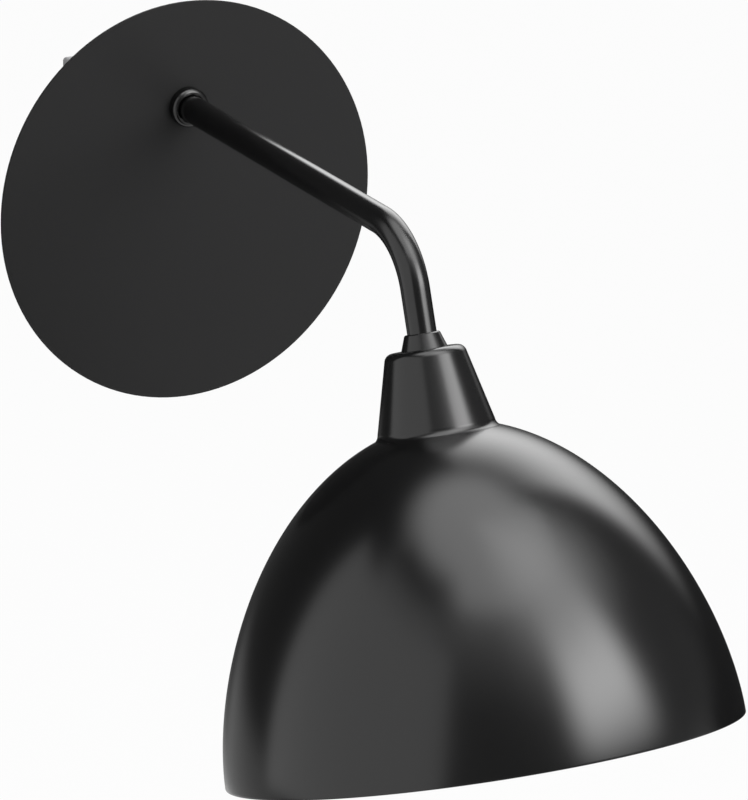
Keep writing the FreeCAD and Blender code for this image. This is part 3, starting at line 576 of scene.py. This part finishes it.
glossCards = {
    "ceilingCard": {"centre": (0, 90), "half": (200, 31), "fade": (5, 5), "tone": 3.3},
    "darkRoom": {"centre": (27, 19), "half": (86, 29), "fade": (6, 38), "tone": 0.20},
    "darkWall": {"centre": (171, 20), "half": (76, 46), "fade": (21, 16), "tone": 0.07},
    "lowLeftCard": {"centre": (-152, -22), "half": (26, 10), "fade": (14, 10), "tone": 0.45},
    "lowRightCard": {"centre": (112, -13), "half": (30, 14), "fade": (16, 14), "tone": 0.02},
    "leftCard": {"centre": (-90, 14.6), "half": (43, 32), "fade": (5, 5), "tone": 1.23},
    "upperShade": {"centre": (-83, 61), "half": (32, 6), "fade": (22, 11), "tone": 0.02},
    "rearGlow": {"centre": (134, 34), "half": (25, 19), "fade": (11, 34), "tone": 4.1},
    "frontGlow": {"centre": (32.4, 32), "half": (19, 16), "fade": (17, 27), "tone": 9.0},
    "highGlow": {"centre": (40, 67), "half": (32, 19), "fade": (60, 40), "tone": 5.7},
}


def softBox(name, look):
    # it lights the object without showing in the gloss, where a card stands in for it
    data = bpy.data.lights.new(name, "AREA")
    data.shape = "RECTANGLE"
    data.size, data.size_y = look["width"], look["height"]
    data.energy = look["radiance"] * math.pi * look["width"] * look["height"]
    light = bpy.data.objects.new(name, data)
    bpy.context.collection.objects.link(light)
    side = outward(look["azimuth"], look["elevation"])
    light.location = Vector(room["middle"]) + side * look["distance"]
    light.rotation_euler = side.to_track_quat("Z", "Y").to_euler()
    light.visible_camera = light.visible_glossy = False


def glow(tree, colour, strength):
    emission = tree.nodes.new("ShaderNodeEmission")
    emission.inputs["Color"].default_value = (colour, colour, colour, 1)
    emission.inputs["Strength"].default_value = strength
    return emission.outputs[0]


def eased(value):
    value = min(max(value, 0.0), 1.0)
    return value * value * (3 - 2 * value)


def glossCard(name, look, distance):
    # a curved card round the object that fades out at its edges and shows only in gloss
    azimuth, elevation = look["centre"]
    (halfAround, halfUp), (fadeAround, fadeUp) = look["half"], look["fade"]
    reach = min(halfAround + fadeAround / 2, 180)
    low, high = max(elevation - halfUp - fadeUp / 2, -89), min(elevation + halfUp + fadeUp / 2, 90)
    cells = room["cardCells"]
    places, cover = [], []
    for j in range(cells + 1):
        for i in range(cells + 1):
            aside, up = reach * (2 * i / cells - 1), low + (high - low) * j / cells
            places.append(Vector(room["middle"]) + distance * outward(azimuth + aside, up))
            cover.append(eased((halfAround - abs(aside)) / fadeAround + 0.5)
                         * eased((halfUp - abs(up - elevation)) / fadeUp + 0.5))
    step = cells + 1
    faces = [(j * step + i, j * step + i + 1, (j + 1) * step + i + 1, (j + 1) * step + i)
             for j in range(cells) for i in range(cells)]
    mesh = bpy.data.meshes.new(name)
    mesh.from_pydata(places, [], faces)
    mesh.attributes.new("cover", "FLOAT", "POINT").data.foreach_set("value", cover)
    card = bpy.data.objects.new(name, mesh)
    bpy.context.collection.objects.link(card)
    material, tree, shader = newMaterial(name)
    share = tree.nodes.new("ShaderNodeAttribute")
    share.attribute_name = "cover"
    clear = tree.nodes.new("ShaderNodeBsdfTransparent")
    shown = tree.nodes.new("ShaderNodeMixShader")
    tree.links.new(share.outputs["Fac"], shown.inputs["Fac"])
    tree.links.new(clear.outputs[0], shown.inputs[1])
    tree.links.new(glow(tree, 1.0, look["tone"]), shown.inputs[2])
    tree.links.new(shown.outputs[0], tree.nodes["Material Output"].inputs["Surface"])
    mesh.materials.append(material)
    card.visible_camera = card.visible_diffuse = card.visible_shadow = False
    card.visible_transmission = card.visible_volume_scatter = False


def seenDirectly(tree):
    # 1 for the rays that look at the surroundings, straight or by way of metal, gloss or glass
    path = tree.nodes.new("ShaderNodeLightPath")
    either = path.outputs["Is Camera Ray"]
    for other in ("Is Glossy Ray", "Is Transmission Ray"):
        both = tree.nodes.new("ShaderNodeMath")
        both.operation = "MAXIMUM"
        tree.links.new(either, both.inputs[0])
        tree.links.new(path.outputs[other], both.inputs[1])
        either = both.outputs[0]
    return either


def makeWorld():
    world = bpy.data.worlds.new("whiteRoom")
    bpy.context.scene.world = world
    world.use_nodes = True
    tree = world.node_tree
    background = tree.nodes["Background"]
    background.inputs["Color"].default_value = (1, 1, 1, 1)
    strength = tree.nodes.new("ShaderNodeMapRange")
    strength.inputs["To Min"].default_value = room["fill"]
    strength.inputs["To Max"].default_value = 1.0
    tree.links.new(seenDirectly(tree), strength.inputs["Value"])
    tree.links.new(strength.outputs["Result"], background.inputs["Strength"])


def makeFloor():
    half, height = room["floorSize"] / 2, room["floorHeight"]
    mesh = bpy.data.meshes.new("floor")
    corners = [(x * half, y * half, height) for x, y in ((-1, -1), (1, -1), (1, 1), (-1, 1))]
    mesh.from_pydata(corners, [], [(0, 1, 2, 3)])
    floor = bpy.data.objects.new("floor", mesh)
    bpy.context.collection.objects.link(floor)
    material, tree, shader = newMaterial("palePaper")
    shader.inputs["Base Color"].default_value = (*[room["floorTone"]] * 3, 1)
    shader.inputs["Roughness"].default_value = 0.9
    shader.inputs["Specular IOR Level"].default_value = 0.0
    share = tree.nodes.new("ShaderNodeMath")
    share.operation = "MULTIPLY"
    share.inputs[1].default_value = room["floorShare"]
    tree.links.new(seenDirectly(tree), share.inputs[0])
    lit = tree.nodes.new("ShaderNodeMixShader")
    tree.links.new(share.outputs[0], lit.inputs["Fac"])
    tree.links.new(shader.outputs[0], lit.inputs[1])
    tree.links.new(glow(tree, 1.0, 1.0), lit.inputs[2])
    # seen from underneath the floor is clear, so that it hides nothing
    side = tree.nodes.new("ShaderNodeNewGeometry")
    clear = tree.nodes.new("ShaderNodeBsdfTransparent")
    oneSided = tree.nodes.new("ShaderNodeMixShader")
    tree.links.new(side.outputs["Backfacing"], oneSided.inputs["Fac"])
    tree.links.new(lit.outputs[0], oneSided.inputs[1])
    tree.links.new(clear.outputs[0], oneSided.inputs[2])
    tree.links.new(oneSided.outputs[0], tree.nodes["Material Output"].inputs["Surface"])
    mesh.materials.append(material)


for name, look in softBoxes.items():
    softBox(name, look)
for count, (name, look) in enumerate(glossCards.items()):
    glossCard(name, look, room["cardDistance"] - count * room["cardStep"])
makeWorld()
makeFloor()
bpy.context.scene.view_settings.view_transform = "Standard"
print("room ready")
